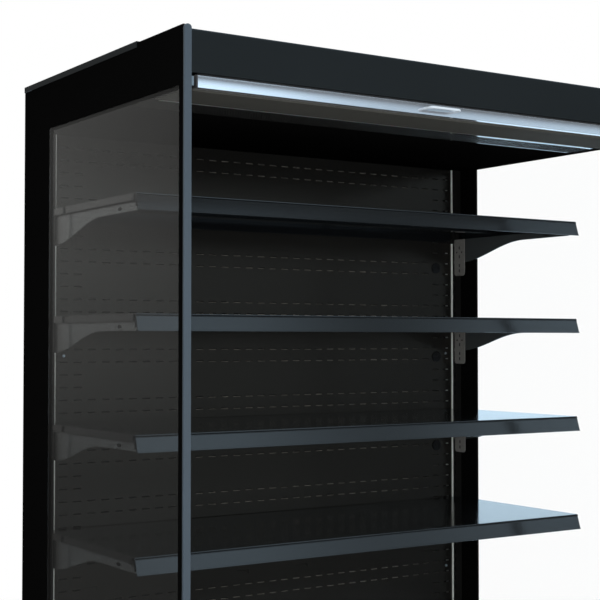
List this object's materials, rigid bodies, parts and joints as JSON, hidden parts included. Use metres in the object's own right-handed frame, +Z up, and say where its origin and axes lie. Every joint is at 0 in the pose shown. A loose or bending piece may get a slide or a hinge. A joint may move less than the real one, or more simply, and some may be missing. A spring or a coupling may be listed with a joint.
{
  "type": "open-front refrigerated display cabinet",
  "caption": "Tall open-front refrigerated shelf cabinet: glazed black end walls, slotted back wall, lift-off bracket shelves with price rails, lit canopy and pull-down night blind.",
  "frame": {"origin": "floor level, at the middle of the cabinet's width and of its depth with the blind handle", "axes": "+X to the shopper's right, +Y from the open front to the rear wall, +Z up"},
  "size_m": [1.3, 0.831, 2.0074],
  "materials": {
    "insulated_panel": "matte",
    "end_frame": "satin",
    "clear_glass": "gloss",
    "gasket": "matte",
    "end_trim": "satin",
    "galvanised": "satin",
    "zinc": "satin",
    "black_plastic": "matte",
    "fascia_paint": "satin",
    "base_paint": "satin",
    "bumper": "satin",
    "back_paint": "satin",
    "upright_paint": "satin",
    "edge_strip": "satin",
    "screw": "polished",
    "underside_paint": "satin",
    "lamp_housing": "satin",
    "diffuser": "satin",
    "honeycomb": "matte",
    "ceiling_paint": "matte",
    "tube": "satin",
    "blind_fabric": "matte",
    "bar": "satin",
    "bar_cap": "satin",
    "handle": "satin",
    "arm_paint": "satin",
    "hook_zinc": "satin",
    "shelf_paint": "gloss",
    "price_rail": "satin",
    "grille_paint": "satin",
    "motor": "satin",
    "rotor": "satin",
    "coil": "satin",
    "copper": "satin",
    "drain": "matte"
  },
  "bodies": {
    "cabinet": {"base_rails": "galvanised", "leveling_feet": "black_plastic", "foot_lock_nuts": "zinc", "kick_plate": "base_paint", "tub_floor": "insulated_panel", "tub_front_wall": "insulated_panel", "front_panel": "base_paint", "front_bumper": "bumper", "rear_wall": "insulated_panel", "roof_panel": "insulated_panel", "roof_cap": "insulated_panel", "end_frame_left": "end_frame", "end_frame_right": "end_frame", "end_glass": "clear_glass", "glass_gaskets": "gasket", "end_trims": "end_trim", "uprights": "upright_paint", "upright_edges": "edge_strip", "back_panel_upper": "back_paint", "back_panel_middle": "back_paint", "back_panel_lower": "back_paint", "back_panel_screws": "screw", "shelf_light_sockets": "black_plastic", "canopy_fascia": "fascia_paint", "canopy_underside": "underside_paint", "led_housing": "lamp_housing", "led_diffuser": "diffuser", "air_honeycomb": "honeycomb", "ceiling_panel": "ceiling_paint", "blind_brackets": "galvanised", "bracket_arms": "arm_paint", "hook_plates": "hook_zinc", "deck_rails": "galvanised", "air_return_grille": "grille_paint", "fan_plate": "galvanised", "fan_motors": "motor", "evaporator_coil": "coil", "pipe_stubs": "copper", "drain_stub": "drain"},
    "blind_roller": {"blind_tube": "tube", "blind_end_plugs": "black_plastic", "blind_fabric_roll": "blind_fabric"},
    "blind_pull": {"blind_bar": "bar", "blind_bar_caps": "bar_cap", "blind_handle": "handle", "blind_fabric_drop": "blind_fabric"},
    "deck_left": {"deck_pan_left": "shelf_paint"},
    "deck_right": {"deck_pan_right": "shelf_paint"},
    "fan_left": {"fan_rotor_left": "rotor"},
    "fan_right": {"fan_rotor_right": "rotor"},
    "shelf_1": {"shelf_1": "shelf_paint", "price_rail_1": "price_rail"},
    "shelf_2": {"shelf_2": "shelf_paint", "price_rail_2": "price_rail"},
    "shelf_3": {"shelf_3": "shelf_paint", "price_rail_3": "price_rail"},
    "shelf_4": {"shelf_4": "shelf_paint", "price_rail_4": "price_rail"},
    "shelf_5": {"shelf_5": "shelf_paint", "price_rail_5": "price_rail"}
  },
  "joints": [
    {"name": "blind_pull_down", "type": "slide", "parent": "cabinet", "child": "blind_pull", "axis": [0, 0, -1], "range_m": [0, 1.4], "stiffness_N_per_m": 12, "springref_m": -1, "deforming": ["blind_fabric_drop"]},
    {"name": "blind_roller_spin", "type": "hinge", "parent": "cabinet", "child": "blind_roller", "pos_m": [0, -0.3535, 1.955], "axis": [1, 0, 0], "range_deg": [0, 3400]},
    {"name": "fan_left_spin", "type": "hinge", "parent": "cabinet", "child": "fan_left", "pos_m": [-0.3, -0.1505, 0.3], "axis": [0, 1, 0], "continuous": true},
    {"name": "fan_right_spin", "type": "hinge", "parent": "cabinet", "child": "fan_right", "pos_m": [0.3, -0.1505, 0.3], "axis": [0, 1, 0], "continuous": true},
    {"name": "shelf_1_lift", "type": "slide", "parent": "cabinet", "child": "shelf_1", "axis": [0, 0, 1], "range_m": [0, 0.06]},
    {"name": "shelf_2_lift", "type": "slide", "parent": "cabinet", "child": "shelf_2", "axis": [0, 0, 1], "range_m": [0, 0.06]},
    {"name": "shelf_3_lift", "type": "slide", "parent": "cabinet", "child": "shelf_3", "axis": [0, 0, 1], "range_m": [0, 0.06]},
    {"name": "shelf_4_lift", "type": "slide", "parent": "cabinet", "child": "shelf_4", "axis": [0, 0, 1], "range_m": [0, 0.06]},
    {"name": "shelf_5_lift", "type": "slide", "parent": "cabinet", "child": "shelf_5", "axis": [0, 0, 1], "range_m": [0, 0.06]},
    {"name": "deck_left_lift", "type": "slide", "parent": "cabinet", "child": "deck_left", "axis": [0, 0, 1], "range_m": [0, 0.07]},
    {"name": "deck_right_lift", "type": "slide", "parent": "cabinet", "child": "deck_right", "axis": [0, 0, 1], "range_m": [0, 0.07]}
  ],
  "couplings": [
    {"joint": "blind_roller_spin", "follows": "blind_pull_down", "rad_per_m": 41.667}
  ]
}
